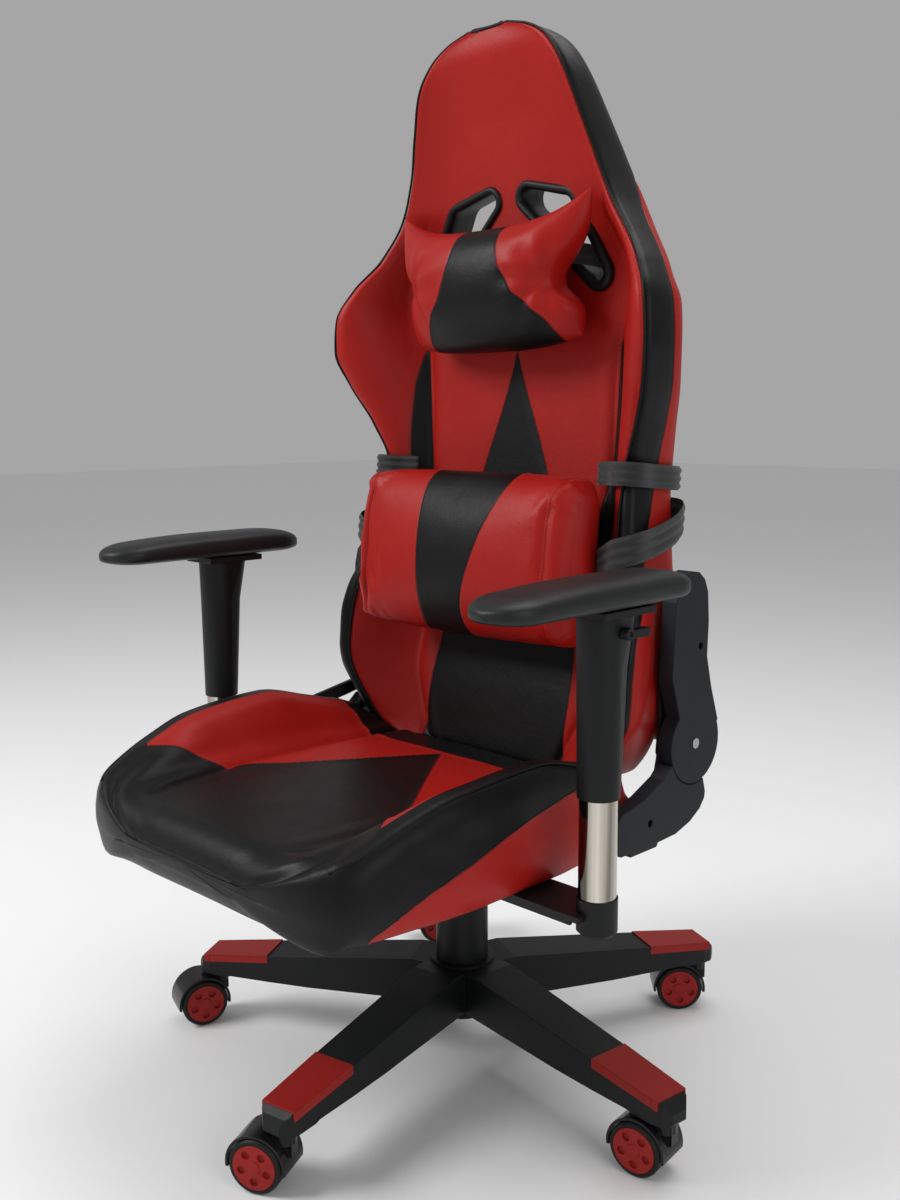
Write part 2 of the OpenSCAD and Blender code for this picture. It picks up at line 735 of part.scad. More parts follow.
head_strap_route = [[104, -76, 545], [112, -68, 545], [116, -54, 545], [119, -28, 545],
    [119.5, -14, 545], [112, -6, 545], [60, -3, 545], [0, -1, 545]];
upper_strap_route = [[150, -58, 297], [172, -67, 297], [188, -78, 297], [204, -80, 297],
    [212, -73, 297], [213, -40, 297], [213, 6, 297], [206, 18, 297], [160, 27, 297], [80, 35, 297], [0, 37, 297]];
lower_strap_route = [[150, -60, 190], [180, -78, 200], [208, -96, 208], [224, -89, 214],
    [228, -50, 224], [223, 4, 246], [213, 20, 254], [160, 26, 258], [80, 35, 258], [0, 38, 258]];

module head_strap() {
    color(black) at_back() band(round_back(head_strap_route), 24, 1.5);
}

module lumbar_straps() {
    color(black) at_back() {
        band(round_back(upper_strap_route), 26, 1.8);
        band(round_back(lower_strap_route), 34, 1.8);
    }
}

// ---------- nodes ----------

star_base();
arm_inlays();
caster_stems();
gas_cylinder();
dust_cover_lower();
for (i = ARMS) {
    caster_hood(i);
    caster_wheels(i);
    caster_caps(i);
}
piston_rod();
thrust_bearing();
pressure_tube();
dust_cover_middle();
dust_cover_upper();
mechanism_housing();
lift_button();
height_lever();
tilt_pin();
tension_spring();
tension_knob();
mechanism_plate();
seat_frame();
seat_cushion();
arm_brackets();
arm_feet();
arm_posts();
recliner_seat_plates();
recliner_lower_covers();
seat_cover_screws();
arm_sleeve(1);  // arm_sleeve_left
arm_sleeve(-1);  // arm_sleeve_right
arm_pad(1);  // arm_pad_left
arm_pad(-1);  // arm_pad_right
arm_trigger(1);  // arm_trigger_left
arm_trigger(-1);  // arm_trigger_right
back_hinge_plates();
recliner_upper_covers();
recliner_rod();
back_cover_screws();
back_frame();
back_cushion();
opening_bezels();
head_pillow();
head_strap();
lumbar_pillow();
lumbar_straps();
recline_lever();
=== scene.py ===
"""Looks of the gaming chair: upholstery, straps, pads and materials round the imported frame."""
import json
import math

import bpy
import numpy as np
from mathutils import Matrix, Vector


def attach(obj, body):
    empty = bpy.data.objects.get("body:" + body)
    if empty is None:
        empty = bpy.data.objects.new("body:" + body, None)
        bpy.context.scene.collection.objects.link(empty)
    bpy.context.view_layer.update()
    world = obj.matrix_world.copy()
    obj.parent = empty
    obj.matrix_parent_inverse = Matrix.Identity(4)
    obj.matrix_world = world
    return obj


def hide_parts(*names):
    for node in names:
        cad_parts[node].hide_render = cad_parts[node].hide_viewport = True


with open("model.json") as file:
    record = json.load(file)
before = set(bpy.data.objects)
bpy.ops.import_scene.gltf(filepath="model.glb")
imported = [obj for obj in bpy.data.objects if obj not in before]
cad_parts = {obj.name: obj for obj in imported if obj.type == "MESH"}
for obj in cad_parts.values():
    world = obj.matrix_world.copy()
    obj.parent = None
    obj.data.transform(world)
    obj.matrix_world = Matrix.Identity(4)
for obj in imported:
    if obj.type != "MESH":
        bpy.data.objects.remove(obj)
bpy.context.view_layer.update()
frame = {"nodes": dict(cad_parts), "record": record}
nodes = frame["nodes"]
scene = bpy.context.scene
MM = 0.001


# ---------- camera, floor and light ----------

CAMERA_PLACE = (1.0265, -1.0369, 0.801)
CAMERA_YAW, CAMERA_PITCH, CAMERA_ROLL = 45.21, -8.71, -0.34


def make_camera():
    """A camera at the picture's viewing angle."""
    yaw, pitch, roll = (math.radians(a) for a in (CAMERA_YAW, CAMERA_PITCH, CAMERA_ROLL))
    forward = Vector((-math.sin(yaw) * math.cos(pitch), math.cos(yaw) * math.cos(pitch),
                      math.sin(pitch)))
    level = Vector((math.cos(yaw), math.sin(yaw), 0))
    upright = level.cross(forward)
    right = level * math.cos(roll) + upright * math.sin(roll)
    up = upright * math.cos(roll) - level * math.sin(roll)
    data = bpy.data.cameras.new("camera")
    data.lens, data.sensor_width, data.sensor_fit = 36.73, 36, "AUTO"
    data.clip_start, data.clip_end = 0.05, 50
    camera = bpy.data.objects.new("camera", data)
    scene.collection.objects.link(camera)
    rotation = Matrix((right, up, -forward)).transposed().to_4x4()
    camera.matrix_world = Matrix.Translation(CAMERA_PLACE) @ rotation
    scene.camera = camera


LIT_POINT = (0, 0, 0.6)


def area_light(name, place, size, power):
    """A round lamp that faces the middle of the chair."""
    data = bpy.data.lights.new(name, "AREA")
    data.shape, data.size, data.energy = "DISK", size, power
    light = bpy.data.objects.new(name, data)
    scene.collection.objects.link(light)
    light.location = place
    light.rotation_euler = (Vector(LIT_POINT) - Vector(place)).to_track_quat("-Z", "Y").to_euler()


def make_studio():
    """Plain light all round, three lamps and a pale floor just under the casters."""
    world = bpy.data.worlds.new("studio")
    world.use_nodes = True
    background = world.node_tree.nodes["Background"]
    background.inputs["Color"].default_value = (1, 1, 1, 1)
    background.inputs["Strength"].default_value = 0.38
    scene.world = world
    scene.view_settings.view_transform = "Standard"
    area_light("key", (-1.6, -2.4, 2.6), 1.6, 74)
    area_light("fill", (2.6, -0.6, 1.5), 1.8, 15)
    area_light("top", (0.2, 0.6, 3.0), 2.2, 32)
    bpy.ops.mesh.primitive_plane_add(size=30, location=(0, 0, -0.0005))
    floor = bpy.context.object
    floor.name = "floor"
    paint = bpy.data.materials.new("floor_paint")
    paint.use_nodes = True
    shader = paint.node_tree.nodes["Principled BSDF"]
    shader.inputs["Base Color"].default_value = (0.93, 0.93, 0.93, 1)
    shader.inputs["Roughness"].default_value = 0.7
    floor.data.materials.append(paint)


# ---------- materials ----------

class Shader:
    """A small wrapper that adds nodes to one material and joins them up."""

    def __init__(self, name, roughness=0.5, metallic=0.0, **inputs):
        self.material = bpy.data.materials.new(name)
        self.material.use_nodes = True
        self.tree = self.material.node_tree
        self.base = self.tree.nodes["Principled BSDF"]
        self.base.inputs["Roughness"].default_value = roughness
        self.base.inputs["Metallic"].default_value = metallic
        for key, value in inputs.items():
            self.base.inputs[key.replace("_", " ")].default_value = value
        self.place = self.add("ShaderNodeTexCoord").outputs["Object"]

    def add(self, kind, **values):
        node = self.tree.nodes.new(kind)
        for key, value in values.items():
            setattr(node, key, value)
        return node

    def join(self, source, socket):
        if hasattr(source, "node"):
            self.tree.links.new(source, socket)
        else:
            socket.default_value = source

    def maths(self, operation, a, b=0.0, c=0.0, clamp=False):
        node = self.add("ShaderNodeMath", operation=operation, use_clamp=clamp)
        for value, socket in zip((a, b, c), node.inputs):
            self.join(value, socket)
        return node.outputs[0]

    def noise(self, scale, detail=3.0, rough=0.5, stretch=None):
        node = self.add("ShaderNodeTexNoise")
        node.inputs["Scale"].default_value = scale
        node.inputs["Detail"].default_value = detail
        node.inputs["Roughness"].default_value = rough
        place = self.place
        if stretch:
            mapping = self.add("ShaderNodeMapping")
            mapping.inputs["Scale"].default_value = stretch
            self.join(place, mapping.inputs["Vector"])
            place = mapping.outputs[0]
        self.join(place, node.inputs["Vector"])
        return node.outputs["Fac"]

    def cells(self, scale):
        node = self.add("ShaderNodeTexVoronoi")
        node.inputs["Scale"].default_value = scale
        self.join(self.place, node.inputs["Vector"])
        return node.outputs["Distance"]

    def mix(self, factor, a, b):
        node = self.add("ShaderNodeMix", data_type="RGBA")
        self.join(factor, node.inputs["Factor"])
        self.join(a, node.inputs[6])
        self.join(b, node.inputs[7])
        return node.outputs[2]

    def spread(self, value, low, high):
        """value from 0 to 1 becomes a number from low to high."""
        return self.maths("MULTIPLY_ADD", value, high - low, low)

    def bump(self, height, distance, strength=1.0, normal=None):
        node = self.add("ShaderNodeBump")
        node.inputs["Distance"].default_value = distance
        node.inputs["Strength"].default_value = strength
        self.join(height, node.inputs["Height"])
        if normal is not None:
            self.join(normal, node.inputs["Normal"])
        return node.outputs[0]

    def soft_edges(self, radius):
        node = self.add("ShaderNodeBevel", samples=4)
        node.inputs["Radius"].default_value = radius
        return node.outputs[0]

    def attribute(self, name):
        return self.add("ShaderNodeAttribute", attribute_name=name).outputs["Fac"]

    def finish(self, colour=None, roughness=None, normal=None):
        for source, name in ((colour, "Base Color"), (roughness, "Roughness"), (normal, "Normal")):
            if source is not None:
                self.join(source, self.base.inputs[name])
        return self.material


RED_DEEP, RED_LIT = (0.30, 0.0075, 0.0052, 1), (0.41, 0.0115, 0.0075, 1)
BLACK_DEEP, BLACK_LIT = (0.0020, 0.0021, 0.0024, 1), (0.0045, 0.0044, 0.0046, 1)
THREAD = (0.42, 0.05, 0.04, 1)
STITCH_FROM_SEAM = 3.4   # millimetres, like the attribute "panel"
STITCH_LENGTH = 0.0055   # metres, like every place in a shader
WEB_RIB, WEB_PICK = 1.6, 1.1   # millimetres, like the attributes "across" and "along"


def leather(name, panels):
    """Grained artificial leather. Where panels is set, the attribute "panel" holds the signed
    distance in millimetres from a seam between a red panel (below 0) and a black one (above 0)."""
    s = Shader(name, 0.42, Specular_IOR_Level=0.2)
    cloudy = s.noise(7, 4)
    black = s.mix(cloudy, BLACK_DEEP, BLACK_LIT)
    grain = s.cells(620)
    creases = s.noise(75, 5, 0.6)
    fine = s.noise(1500, 2)
    height = s.maths("MULTIPLY_ADD", grain, 0.55, s.maths("MULTIPLY", fine, 0.25))
    if panels:
        panel = s.attribute("panel")
        is_black = s.maths("MULTIPLY_ADD", panel, 2.2, 0.5, clamp=True)
        colour = s.mix(is_black, s.mix(cloudy, RED_DEEP, RED_LIT), black)
        away = s.maths("ABSOLUTE", panel)
        seam = s.maths("MULTIPLY_ADD", away, -0.55, 1.0, clamp=True)
        row = s.maths("ABSOLUTE", s.maths("SUBTRACT", away, STITCH_FROM_SEAM))
        row = s.maths("MULTIPLY_ADD", row, -1.7, 1.0, clamp=True)
        axes = s.add("ShaderNodeSeparateXYZ")
        s.join(s.place, axes.inputs[0])
        run = s.maths("ADD", s.maths("MULTIPLY", axes.outputs[1], 1.3), axes.outputs[2])
        dashes = s.maths("SINE", s.maths("MULTIPLY", run, 2 * math.pi / STITCH_LENGTH))
        dashes = s.maths("MULTIPLY_ADD", dashes, 4, 1.5, clamp=True)
        red_side = s.maths("SUBTRACT", 1.0, is_black, clamp=True)
        stitch = s.maths("MULTIPLY", s.maths("MULTIPLY", row, dashes), red_side)
        colour = s.mix(s.maths("MULTIPLY", stitch, 0.55), colour, THREAD)
        # Painted shade: the colour is darkened towards BLACK_DEEP within about 2 mm of each seam,
        # standing in for shade in the seam groove
        colour = s.mix(s.maths("MULTIPLY", seam, 0.8), colour, BLACK_DEEP)
        height = s.maths("ADD", height, s.maths("MULTIPLY", stitch, 1.6))
        height = s.maths("SUBTRACT", height, s.maths("MULTIPLY", seam, 4.0))
    else:
        colour = black
    normal = s.bump(height, 0.00022, 0.55)
    normal = s.bump(creases, 0.0011, 0.35, normal)
    rough = s.spread(s.noise(28, 3), 0.34, 0.50)
    return s.finish(colour, rough, normal)


def moulded(name, low, high, rough, grain, edge):
    """Moulded plastic with a fine spark-eroded texture, worn a little brighter in places."""
    s = Shader(name, rough, Specular_IOR_Level=0.24)
    colour = s.mix(s.noise(9, 4), low, high)
    height = s.maths("ADD", s.noise(1400, 2), s.maths("MULTIPLY", s.cells(900), 0.6))
    normal = s.bump(height, grain, 0.5, s.soft_edges(edge))
    return s.finish(colour, s.spread(s.noise(35, 4), rough - 0.06, rough + 0.07), normal)


def metal(name, low, high, rough, scale, edge):
    """Metal with streaks along Z: fine ones for brushed steel, and for polished chrome broad dark
    and bright bands that are painted reflection.
    """
    s = Shader(name, rough, 1.0)
    lines = s.noise(scale, 2, 0.5, (1, 1, 0.02))
    # For chrome these broad bands are painted reflection; for steel they are the real fine brushing
    brushing_and_painted_reflection = s.maths("MULTIPLY_ADD", lines, 2.6, -0.8, clamp=True)
    normal = s.bump(lines, 0.00003, 0.5, s.soft_edges(edge))
    return s.finish(s.mix(brushing_and_painted_reflection, low, high), s.spread(lines, rough * 0.7, rough * 1.3), normal)


def webbing_material():
    """Woven elastic: ribs along the strap and picks across it, from the strap's own measure."""
    s = Shader("webbing", 0.75, Sheen_Weight=0.25, Sheen_Roughness=0.5)
    across, along = s.attribute("across"), s.attribute("along")
    ribs = s.maths("SINE", s.maths("MULTIPLY", across, 2 * math.pi / WEB_RIB))
    picks = s.maths("SINE", s.maths("MULTIPLY", along, 2 * math.pi / WEB_PICK))
    weave = s.maths("MULTIPLY_ADD", s.maths("MULTIPLY", ribs, picks), 0.5, 0.5)
    colour = s.mix(weave, (0.0025, 0.0026, 0.0032, 1), (0.014, 0.0145, 0.017, 1))
    return s.finish(colour, s.spread(weave, 0.62, 0.86), s.bump(weave, 0.00035, 0.8))


def arm_pad_material():
    """Soft skinned foam with a fine grain."""
    s = Shader("pad_skin", 0.46, Specular_IOR_Level=0.35)
    dark, bright = (0.0045, 0.0052, 0.0057, 1), (0.0090, 0.0100, 0.0108, 1)
    colour = s.mix(s.noise(14, 4), dark, bright)
    height = s.maths("ADD", s.cells(750), s.noise(500, 3))
    return s.finish(colour, s.spread(s.noise(40, 3), 0.38, 0.54), s.bump(height, 0.00018, 0.5))


# Each moulded material's darkest and brightest colour, roughness, grain depth and edge radius
MOULDED = {
    "nylon": ((0.0035, 0.0039, 0.0044, 1), (0.0075, 0.0085, 0.0095, 1), 0.46, 0.0001, 0.0016),
    "gloss_nylon": ((0.006, 0.006, 0.0065, 1), (0.011, 0.011, 0.012, 1), 0.2, 0.00003, 0.001),
    "cover_plastic": ((0.0060, 0.0085, 0.011, 1), (0.0100, 0.0135, 0.017, 1), 0.5, 0.00012, 0.002),
    "red_plastic": ((0.24, 0.008, 0.006, 1), (0.34, 0.012, 0.009, 1), 0.45, 0.0001, 0.0012),
    "black_paint": ((0.006, 0.006, 0.0065, 1), (0.013, 0.013, 0.014, 1), 0.4, 0.00015, 0.001),
}
# Each metal's darkest and brightest colour, roughness, noise scale and edge radius; for chrome the
# darkest and brightest colours are painted reflection bands
METALS = {
    "steel": ((0.42, 0.42, 0.43, 1), (0.60, 0.60, 0.61, 1), 0.3, 260, 0.0005),
    "chrome": ((0.07, 0.062, 0.05, 1), (0.66, 0.62, 0.55, 1), 0.08, 75, 0.0005),
}


def make_materials():
    """One material for each slot name in the record."""
    made = {name: moulded(name, *values) for name, values in MOULDED.items()}
    made.update((name, metal(name, *values)) for name, values in METALS.items())
    made["red_leather"] = leather("red_leather", True)
    made["black_leather"] = leather("black_leather", False)
    made["webbing"] = webbing_material()
    made["pad_rubber"] = arm_pad_material()
    return made


# ---------- shape helpers ----------

def curve(*points):
    """A smooth function through (x, y) points that never swings past them."""
    xs, ys = np.array(points, float).T
    h = np.diff(xs)
    d = np.diff(ys) / h
    m = np.concatenate(([d[0]], np.zeros(len(d) - 1), [d[-1]]))
    for i in range(1, len(d)):
        if d[i - 1] * d[i] > 0:
            a, b = 2 * h[i] + h[i - 1], h[i] + 2 * h[i - 1]
            m[i] = (a + b) / (a / d[i - 1] + b / d[i])

    def value(x):
        x = np.clip(x, xs[0], xs[-1])
        i = np.clip(np.searchsorted(xs, x) - 1, 0, len(h) - 1)
        t = (x - xs[i]) / h[i]
        return (ys[i] * (1 + 2 * t) * (1 - t) ** 2 + ys[i + 1] * t * t * (3 - 2 * t)
                + h[i] * t * (1 - t) * (m[i] * (1 - t) - m[i + 1] * t))
    return value


def smooth(t):
    """A soft step that is 0 up to t = 0 and 1 from t = 1 on."""
    t = np.clip(t, 0, 1)
    return t * t * (3 - 2 * t)


def through(control, counts):
    """Smooth lines through control points: control is (stations, points, axes) and counts says how
    many steps each stretch between two points gets."""
    c = np.asarray(control, float)
    length = np.linalg.norm(np.diff(c, axis=1), axis=2, keepdims=True) + 1e-9
    slope = np.diff(c, axis=1) / length
    middle = ((slope[:, :-1] * length[:, 1:] + slope[:, 1:] * length[:, :-1])
              / (length[:, 1:] + length[:, :-1]))
    tangent = np.concatenate((slope[:, :1], middle, slope[:, -1:]), axis=1)
    out = []
    for i, n in enumerate(counts):
        for t in np.arange(n) / n:
            pull = tangent[:, i] * (1 - t) - tangent[:, i + 1] * t
            out.append(c[:, i] * (1 + 2 * t) * (1 - t) ** 2 + c[:, i + 1] * t * t * (3 - 2 * t)
                       + length[:, i] * t * (1 - t) * pull)
    out.append(c[:, -1])
    return np.stack(out, axis=1)


def arc_length(outline):
    """How far each point of each row lies along its row."""
    steps = np.linalg.norm(np.diff(outline, axis=1), axis=2)
    return np.concatenate((np.zeros((len(outline), 1)), np.cumsum(steps, axis=1)), axis=1)


def stacked(pairs):
    """Control points (stations, points, 2) from a list of pairs of numbers or station arrays."""
    return np.stack([np.stack(np.broadcast_arrays(a, b), axis=-1) for a, b in pairs], axis=1)


def full_turn(count):
    return np.arange(count) / count * 2 * math.pi


def squared(value, power):
    """A sine or cosine pushed towards its limits, which makes a circle into a rounded box."""
    return np.sign(value) * np.abs(value) ** power


def tilted(y, z, degrees, to_y, to_z):
    """y and z turned about X and then moved."""
    a = math.radians(degrees)
    return y * math.cos(a) - z * math.sin(a) + to_y, y * math.sin(a) + z * math.cos(a) + to_z


def normals_of(grid):
    """Outward normals of a grid of rings, for a grid that closes round each ring."""
    along = np.gradient(grid, axis=0)
    around = np.roll(grid, -1, axis=1) - np.roll(grid, 1, axis=1)
    n = np.cross(around, along)
    return n / (np.linalg.norm(n, axis=2, keepdims=True) + 1e-9)


def link(name, mesh, material, body, replaced=()):
    """Puts a finished piece in the scene, on its body and in its slot."""
    piece = bpy.data.objects.new(name, mesh)
    scene.collection.objects.link(piece)
    mesh.materials.append(material)
    mesh.polygons.foreach_set("use_smooth", [True] * len(mesh.polygons))
    mesh.update()
    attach(piece, body)
    if replaced:
        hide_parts(*replaced)
    return piece


def mesh_from_grid(name, grid, attributes=(), closed=True, capped=True):
    """A mesh from a grid of points in millimetres; each row is a ring if closed."""
    rows, cols = grid.shape[:2]
    index = np.arange(rows * cols).reshape(rows, cols)
    wrap = np.roll(index, -1, axis=1) if closed else index[:, 1:]
    near = index if closed else index[:, :-1]
    faces = np.stack((near[:-1], wrap[:-1], wrap[1:], near[1:]), axis=2).reshape(-1, 4).tolist()
    if capped:
        faces += [index[0][::-1].tolist(), index[-1].tolist()]
    mesh = bpy.data.meshes.new(name)
    mesh.from_pydata((grid.reshape(-1, 3) * MM).tolist(), [], faces)
    for key, values in attributes:
        layer = mesh.attributes.new(key, "FLOAT", "POINT")
        layer.data.foreach_set("value", np.ascontiguousarray(values, np.float32).ravel())
    return mesh


HIDDEN_BLACK = 30.0   # a panel distance that is black and far from any seam


def closing_rows(ring, direction, reach, steps=5):
    """Rows that round off the end of a loft: the ring draws in to its middle while it moves on."""
    centre = ring.mean(axis=0)
    rows = []
    for k in range(1, steps + 1):
        a = math.pi / 2 * k / steps
        shrunk = (ring - centre) * (0.04 + 0.96 * math.cos(a))
        rows.append(centre + shrunk + direction * reach * math.sin(a))
    return np.array(rows)


def round_off(grid, panel, direction, start_reach, end_reach):
    """A loft and its panel distances with black closing rows at both ends."""
    start = closing_rows(grid[0], -direction, start_reach)[::-1]
    end = closing_rows(grid[-1], direction, end_reach)
    black = np.full((len(end), panel.shape[1]), HIDDEN_BLACK)
    return np.concatenate((start, grid, end)), np.concatenate((black, panel, black))


def mirrored(half):
    """A half outline from the middle of the front round to the middle of the rear, made whole."""
    other = half[:, -2:0:-1].copy()
    other[..., 0] *= -1
    return np.concatenate((half, other), axis=1)


def mirrored_values(half):
    """The same for one value per point."""
    return np.concatenate((half, half[:, -2:0:-1]), axis=1)


def tube(name, path, radius, material, body, sides=8):
    """A cord of leather along a path in millimetres."""
    path = np.asarray(path, float)
    ahead = np.gradient(path, axis=0)
    ahead /= np.linalg.norm(ahead, axis=1, keepdims=True) + 1e-9
    side = np.cross(ahead, np.array([0.13, 0.31, 0.94]))
    side /= np.linalg.norm(side, axis=1, keepdims=True) + 1e-9
    lift = np.cross(side, ahead)
    turn = full_turn(sides)
    rings = (path[:, None] + radius * (side[:, None] * np.cos(turn)[None, :, None]
                                       + lift[:, None] * np.sin(turn)[None, :, None]))
    return link(name, mesh_from_grid(name, rings), material, body)


RECLINE = math.radians(5.3)
PIVOT_Y, PIVOT_Z = 105, 430


def from_back(points):
    """Points in the back's own frame, whose origin is on the recline pivot, in the shared frame."""
    p = np.asarray(points, float)
    y = PIVOT_Y + p[..., 1] * math.cos(RECLINE) + p[..., 2] * math.sin(RECLINE)
    z = PIVOT_Z - p[..., 1] * math.sin(RECLINE) + p[..., 2] * math.cos(RECLINE)
    return np.stack((p[..., 0], y, z), axis=-1)


# ---------- back ----------

# Functions of the height above the recline pivot, in the back's own frame: half widths from the
# middle, and depths that grow towards the rear
BACK_FOOT, BACK_HEAD = -54, 800
back_w = curve((-54, 176), (-40, 202), (12, 229), (60, 237), (130, 235), (200, 218), (300, 206),
               (350, 221), (400, 244), (440, 256), (480, 253), (520, 234), (560, 202), (600, 173),
               (650, 151), (700, 134), (745, 117), (775, 95), (792, 66), (800, 36))
rim_y = curve((-54, -72), (0, -91), (60, -103), (100, -102), (200, -78), (300, -69), (350, -84),
              (400, -110), (440, -128), (480, -131), (520, -120), (560, -102), (600, -98),
              (650, -105), (700, -119), (760, -133), (800, -134))
centre_y = curve((-54, -52), (20, -44), (100, -32), (300, -35), (440, -44), (600, -72), (700, -98),
                 (760, -121), (800, -133))
edge_y = curve((-54, 0), (60, 8), (300, 13), (350, -7), (400, -38), (440, -56), (500, -60),
               (560, -36), (600, -25), (650, -37), (700, -57), (760, -79), (800, -84))
flat_w = curve((-54, 110), (60, 150), (400, 150), (450, 155), (510, 172), (560, 152), (600, 128),
               (650, 108), (700, 92), (745, 78), (792, 40), (800, 16))
back_t = curve((-54, 64), (480, 64), (560, 46), (640, 46), (700, 54), (800, 54))
flare = curve((-54, 0), (-20, 0), (30, 12), (130, 10), (190, 0), (800, 0))
seam_in = curve((-54, 24), (110, 27), (220, 21), (320, 9), (380, 5), (800, 4))
black_half = curve((-54, 116), (10, 116), (75, 112), (150, 98), (298, 52), (447, -1), (800, -60))
stripe_in = curve((60, 118), (150, 100), (293, 148), (455, 158), (800, 220))
stripe_out = curve((60, 112), (140, 128), (293, 170), (350, 172), (400, 170), (440, 163), (458, 157),
                   (800, 120))
side_band = curve((-54, 24), (100, 28), (200, 42), (300, 46), (420, 46), (560, 42), (640, 70),
                  (700, 120), (800, 200))


def back_grid():
    """Half outlines of the back at each height, their panel distances, their arc lengths and the
    arc length of the rim seam."""
    z = np.concatenate((np.arange(BACK_FOOT, 770, 4.5), np.linspace(770, BACK_HEAD, 14)))
    w, f, yc, yr, ye = back_w(z), flat_w(z), centre_y(z), rim_y(z), edge_y(z)
    m = np.minimum(seam_in(z), (w - f) * 0.4)
    sewn, head = 1 - smooth((z - 450) / 60), smooth((z - 560) / 60)
    yc = yc + (yr + 3 - yc) * smooth((z - 748) / 46)
    o = w + flare(z)
    control = []
    for t in (0, 0.25, 0.5, 0.75):
        control.append((f * t, yc - 2.2 * (1 - t ** 2)))
    control += [(f - 7, yc - 0.5), (f, yc + 2.6 * sewn - 1.5 * (1 - sewn))]
    span = o - 10 - f
    for t in (0.14, 0.35, 0.55, 0.75, 0.9):
        control.append((f + span * t, yc + (yr - yc) * smooth(t)
                        - 3.2 * sewn * math.sin(math.pi * t) * np.minimum(1, span / 50)))
    control = [(x, y * (1 - head) + head * (yc + (yr - yc) * (x / (o - 10)) ** 3.6))
               for x, y in control]
    control += [(o - 9, yr + 0.6), (o - 2.5, yr + 5), (o, yr + 15), (w + 1.8, (yr + ye) / 2),
                (w, ye - 13), (w - 4, ye - 4), (w - 15, ye)]
    yb = yc + back_t(z)
    for t in (0.75, 0.5, 0.25, 0):
        control.append(((w - 15) * t, yb + (ye - yb) * t * t))
    control = stacked(control)
    control[..., 1] = np.where((z < 18)[:, None], np.minimum(control[..., 1], -21), control[..., 1])
    counts = [9, 9, 8, 6, 3, 3, 5, 5, 5, 4, 3, 3, 3, 5, 5, 3, 3, 5, 5, 5, 5]
    half = through(control, counts)
    rim, side_end = sum(counts[:11]), sum(counts[:17])
    heights = np.broadcast_to(z[:, None, None], half.shape[:2] + (1,))
    points = np.concatenate((half, heights), axis=2)

    x, zz = np.abs(half[..., 0]), z[:, None]
    arc = arc_length(half)
    seam = arc[:, rim:rim + 1] + 9 - m[:, None]
    centre = (black_half(z)[:, None] - x) * 0.95
    stripe = np.minimum(x - stripe_in(z)[:, None], stripe_out(z)[:, None] - x)
    stripe = np.where(zz > 140, stripe, -30)
    front = np.maximum(centre, stripe)
    past = arc - seam
    side = np.minimum(past, side_band(z)[:, None] - past)
    panel = np.where(past < 0, np.maximum(front, past), side)
    column = np.arange(half.shape[1])[None, :]
    rear = np.maximum(132 - x, zz - 690)
    panel = np.where(column > side_end, np.maximum(side, rear), panel)
    return points, panel, arc, seam[:, 0]


def back_wrinkles(points, panel):
    """Soft folds where the cover is pulled round the shoulders and the lower wings."""
    x, z = points[..., 0], points[..., 2]
    wing = smooth((np.abs(x) - 165) / 40)
    fold = np.sin(z / 17 + np.abs(x) / 23) * np.exp(-((z - 470) / 90) ** 2) * 0.9
    fold += np.sin(z / 12 - np.abs(x) / 19) * np.exp(-((z - 90) / 80) ** 2) * 0.7
    soft = np.sin(x / 61 + 1.3) * np.sin(z / 83 + 0.4) * 0.8
    groove = -1.4 * np.exp(-(panel / 3.2) ** 2)
    return fold * wing + soft + groove


def opening_outline(radii, turns):
    """Points on the hull of three circles, one for each direction of its outward normal."""
    centres = np.array([(30, 618), (84, 602), (130, 523)], float)
    out = []
    for a in turns:
        n = np.array([math.cos(a), math.sin(a)])
        best = max(range(3), key=lambda k: centres[k] @ n + radii[k])
        out.append(centres[best] + radii[best] * n)
    return np.array(out)


HEAD_LEAN = math.radians(10.3)


def from_head(outline, depth):
    """Points of an outline in X and Z at a depth behind the head's front plane."""
    x, z = outline[:, 0], outline[:, 1] - 600
    y = np.full(len(x), float(depth))
    return np.stack((x, -71 + y * math.cos(HEAD_LEAN) - z * math.sin(HEAD_LEAN),
                     600 + y * math.sin(HEAD_LEAN) + z * math.cos(HEAD_LEAN)), axis=1)


def cut(piece, cutter):
    """Takes one mesh out of another for good, and removes the cutter."""
    modifier = piece.modifiers.new("cut", "BOOLEAN")
    modifier.operation, modifier.object, modifier.solver = "DIFFERENCE", cutter, "EXACT"
    bpy.context.view_layer.update()
    evaluated = piece.evaluated_get(bpy.context.evaluated_depsgraph_get())
    mesh = bpy.data.meshes.new_from_object(evaluated)
    piece.modifiers.clear()
    piece.data = mesh
    bpy.data.objects.remove(cutter)


def make_back(looks):
    """The back's cover, with its head openings cut through, and the piping on its rim seam."""
    half, panel, arc, seam = back_grid()
    grid, values = mirrored(half), mirrored_values(panel)
    grid = grid + normals_of(grid) * back_wrinkles(grid, values)[..., None]
    grid, values = round_off(grid, values, np.array([0, 0, 1.0]), 5, 6)
    mesh = mesh_from_grid("back_upholstery", from_back(grid), [("panel", values)])
    piece = link("back_upholstery", mesh, looks["red_leather"], "back",
                 ["back_cushion"])
    turns = np.arange(0, 360, 8) / 180 * math.pi
    for side in (1, -1):
        rings = []
        for depth, more in ((-60, 0), (8, 0), (60, 9), (130, 9)):
            outline = opening_outline((12.5 + more, 14.5 + more, 10.5 + more), turns)
            rings.append(from_back(from_head(outline, depth)))
        rings = np.stack(rings)
        rings[..., 0] *= side
        if side > 0:
            rings = rings[:, ::-1]
        cutter = bpy.data.objects.new("cutter", mesh_from_grid("cutter", rings))
        scene.collection.objects.link(cutter)
        cut(piece, cutter)

    inner = np.array([[np.interp(at, along, row[:, k]) for k in range(3)]
                      for at, along, row in zip(seam, arc, half)])
    right = inner[::-1] * np.array([-1, 1, 1])
    loop = np.concatenate((inner, right))
    loop[:, 1] -= 0.4
    tube("back_piping", from_back(loop), 1.5, looks["black_leather"], "back")


